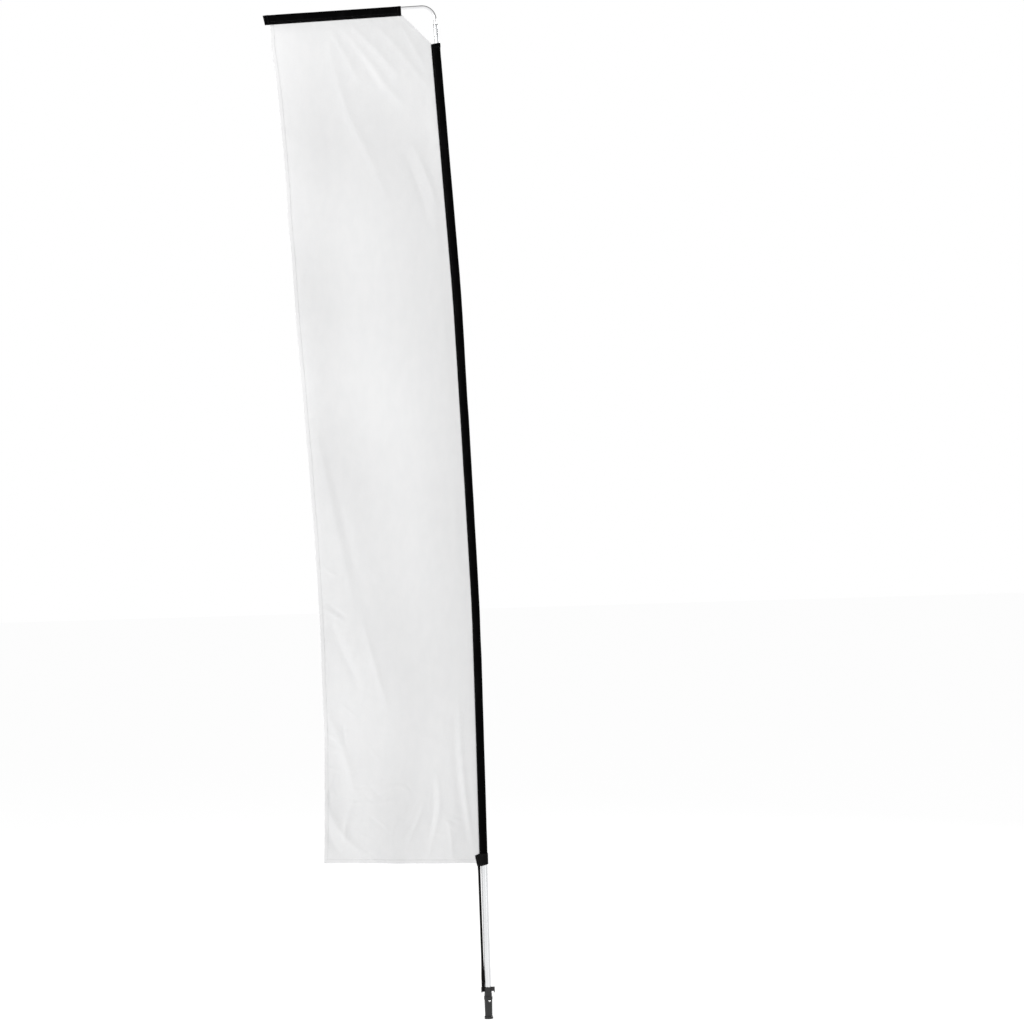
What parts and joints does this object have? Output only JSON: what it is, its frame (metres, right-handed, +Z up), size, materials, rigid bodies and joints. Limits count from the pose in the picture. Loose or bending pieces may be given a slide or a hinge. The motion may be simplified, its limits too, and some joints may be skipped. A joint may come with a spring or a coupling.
{
  "type": "feather flag with pole",
  "caption": "Tall plain white feather flag on a bowed telescopic pole with a bent top arm, black pole pockets, an elastic tension strap and a ground-spindle adapter.",
  "frame": {"origin": "centre of the adapter's mouth, where a ground spindle enters", "axes": "+Z up along the lower tube; the cloth flies towards -X; the front faces -Y"},
  "size_m": [0.8014, 0.0363, 4.0079],
  "materials": {
    "adapter_plastic": "moulded, fine grain",
    "pole_aluminium": "drawn tube, satin",
    "arm_metal": "polished",
    "button_steel": "bright, domed",
    "spring_steel": "dull",
    "lock_plastic": "moulded",
    "lock_expander_plastic": "natural nylon",
    "lock_cam_metal": "die cast",
    "cap_rubber": "matte",
    "cloth_white": "knitted polyester, translucent",
    "pocket_black": "plain-woven polyester, matte",
    "webbing_black": "flat webbing",
    "strap_elastic": "ribbed elastic"
  },
  "bodies": {
    "lower": {"base_adapter": "adapter_plastic", "hook_ring": "adapter_plastic", "button_spring": "spring_steel", "lower_tube": "pole_aluminium", "tension_strap": "strap_elastic"},
    "button": {"snap_button": "button_steel"},
    "middle": {"middle_tube": "pole_aluminium", "middle_lock_plug": "lock_plastic", "middle_lock_cam": "lock_cam_metal", "middle_lock_expander": "lock_expander_plastic"},
    "upper": {"upper_tube": "pole_aluminium", "upper_lock_plug": "lock_plastic", "upper_lock_cam": "lock_cam_metal", "upper_lock_expander": "lock_expander_plastic", "arm_bush": "lock_plastic", "arm_rod": "arm_metal", "arm_tip_cap": "cap_rubber", "flag_panel": "cloth_white", "top_sleeve": "pocket_black", "tip_patch": "pocket_black", "pole_sleeve": "pocket_black", "sleeve_tab": "webbing_black"}
  },
  "joints": [
    {"name": "lower_slide", "type": "slide", "parent": "lower", "child": "middle", "axis": [0, 0, 1], "range_m": [-0.1, 0], "deforming": ["tension_strap"]},
    {"name": "upper_slide", "type": "slide", "parent": "middle", "child": "upper", "axis": [-0.0273, 0, 0.9996], "range_m": [-0.1, 0], "deforming": ["tension_strap"]},
    {"name": "button_press", "type": "slide", "parent": "lower", "child": "button", "axis": [-0.2924, 0.9563, 0], "range_m": [0, 0.0035], "stiffness_N_per_m": 1500, "springref_m": -0.002, "deforming": ["button_spring"]}
  ]
}
